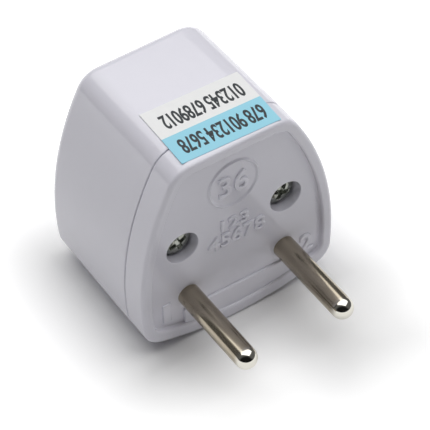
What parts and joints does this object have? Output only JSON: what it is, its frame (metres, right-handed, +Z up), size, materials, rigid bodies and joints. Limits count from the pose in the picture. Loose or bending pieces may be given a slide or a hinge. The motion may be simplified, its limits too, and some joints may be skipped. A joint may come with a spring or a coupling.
{
  "type": "travel plug adapter",
  "caption": "Closed travel plug adapter: a rounded moulded case with round pins on one face and socket entries on the other.",
  "frame": {"origin": "on the plane the base stands on, under the middle of the overall box", "axes": "+X across the pins to the viewer's right when facing the pins, +Y from the pin tips to the socket face, +Z up from the bowed base"},
  "size_m": [0.0378, 0.0476, 0.0397],
  "materials": {
    "case": "gloss",
    "pin": "plated, polished",
    "contact": "bright strip",
    "screw": "zinc plated",
    "label": "satin film"
  },
  "bodies": {
    "root": {"pin_cover": "case", "socket_shell": "case", "pin_left": "pin", "pin_right": "pin", "contact_left": "contact", "contact_right": "contact", "screw_left": "screw", "screw_right": "screw", "top_label": "label"}
  },
  "joints": []
}
